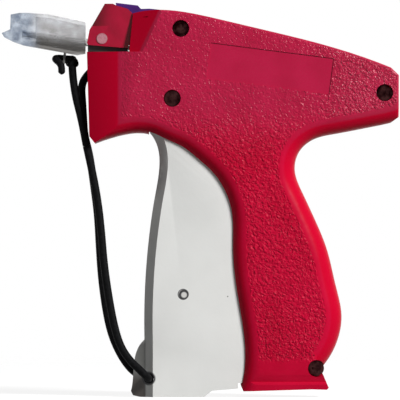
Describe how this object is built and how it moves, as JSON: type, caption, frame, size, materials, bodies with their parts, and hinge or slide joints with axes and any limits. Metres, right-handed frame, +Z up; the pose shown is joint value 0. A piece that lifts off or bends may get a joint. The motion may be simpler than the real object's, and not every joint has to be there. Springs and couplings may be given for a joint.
{
  "type": "garment tag attacher",
  "caption": "Hand-held garment tag attacher: two-shell body with grip, squeeze trigger, hollow needle under a clear cap, nose cover, release lever, inner drive and elastic strap.",
  "frame": {"origin": "centre of the object's box, without the strap, at the underside of the trigger's toe", "axes": "+X from the nose to the tail, +Y from the screw side to the plain side, +Z up from the toe to the barrel"},
  "size_m": [0.1492, 0.0273, 0.1482],
  "materials": {
    "red_plastic": "leather-grained sides with smooth rounded bands",
    "cover_plastic": "glossy",
    "white_plastic": "satin, slightly grey white",
    "blue_plastic": "glossy blue-purple",
    "clear_plastic": "clear, glossy",
    "black_plastic": "moulded black",
    "steel": "bright steel",
    "spring_steel": "spring steel",
    "anchor_plastic": "glossy",
    "elastic": "black covered elastic"
  },
  "bodies": {
    "housing": {"near_shell": "red_plastic", "far_shell": "red_plastic", "shell_screws": "steel", "guide_block": "black_plastic", "needle_base": "black_plastic", "needle": "steel", "cutter_blade": "steel", "detent_leaf": "spring_steel", "cover_hinge_pins": "steel", "guide_rods": "steel", "front_rod_holder": "black_plastic", "rear_rod_holder": "black_plastic", "lever_pivot_pin": "steel", "trigger_pivot_pin": "steel", "release_lever_pin": "steel", "feed_shaft": "steel", "return_springs": "spring_steel", "strap_anchor": "anchor_plastic", "strap_eye": "elastic", "strap_near": "elastic", "strap_far": "elastic"},
    "trigger": {"trigger": "white_plastic", "trigger_cross_pin": "steel", "roller_pin": "steel"},
    "trigger_roller": {"trigger_roller": "black_plastic"},
    "drive_lever": {"drive_lever": "steel", "drive_pin": "steel"},
    "carriage": {"carriage": "black_plastic", "ejector_rod": "steel"},
    "feed_wheel": {"feed_wheel": "black_plastic"},
    "nose_cover": {"nose_cover": "cover_plastic"},
    "release_lever": {"release_lever": "blue_plastic"},
    "needle_cap": {"needle_cap": "clear_plastic", "strap_knot": "elastic", "strap_upper": "elastic"}
  },
  "joints": [
    {"name": "trigger_squeeze", "type": "hinge", "parent": "housing", "child": "trigger", "pos_m": [0.023, 0, 0.0085], "axis": [0, 1, 0], "range_deg": [0, 16.4], "stiffness_Nm_per_rad": 2, "springref_deg": -11.46, "deforming": ["strap_near", "strap_far"]},
    {"name": "roller_spin", "type": "hinge", "parent": "trigger", "child": "trigger_roller", "pos_m": [0.02674, 0, 0.04432], "axis": [0, 1, 0], "continuous": true},
    {"name": "drive_lever_swing", "type": "hinge", "parent": "housing", "child": "drive_lever", "pos_m": [0.036, 0, 0.06], "axis": [0, 1, 0], "range_deg": [-32.78, 0]},
    {"name": "carriage_slide", "type": "slide", "parent": "housing", "child": "carriage", "axis": [-0.9919, 0, 0.1271], "range_m": [0, 0.03651], "deforming": ["return_springs"]},
    {"name": "feed_wheel_turn", "type": "hinge", "parent": "housing", "child": "feed_wheel", "pos_m": [-0.0265, 0, 0.118], "axis": [0, -1, 0], "range_deg": [0, 36.01]},
    {"name": "nose_cover_open", "type": "hinge", "parent": "housing", "child": "nose_cover", "pos_m": [-0.0368, 0, 0.1347], "axis": [0, -1, 0], "range_deg": [0, 30]},
    {"name": "release_lever_lift", "type": "hinge", "parent": "housing", "child": "release_lever", "pos_m": [-0.0202, 0, 0.1415], "axis": [0, 1, 0], "range_deg": [0, 12]},
    {"name": "needle_cap_pull", "type": "slide", "parent": "housing", "child": "needle_cap", "axis": [-0.9919, 0, 0.1271], "range_m": [0, 0.036], "deforming": ["strap_upper"]}
  ],
  "couplings": [
    {"joint": "drive_lever_swing", "follows": "trigger_squeeze", "ratio": -1.9984},
    {"joint": "carriage_slide", "follows": "trigger_squeeze", "m_per_rad": 0.12752},
    {"joint": "feed_wheel_turn", "follows": "trigger_squeeze", "ratio": 2.1951}
  ]
}
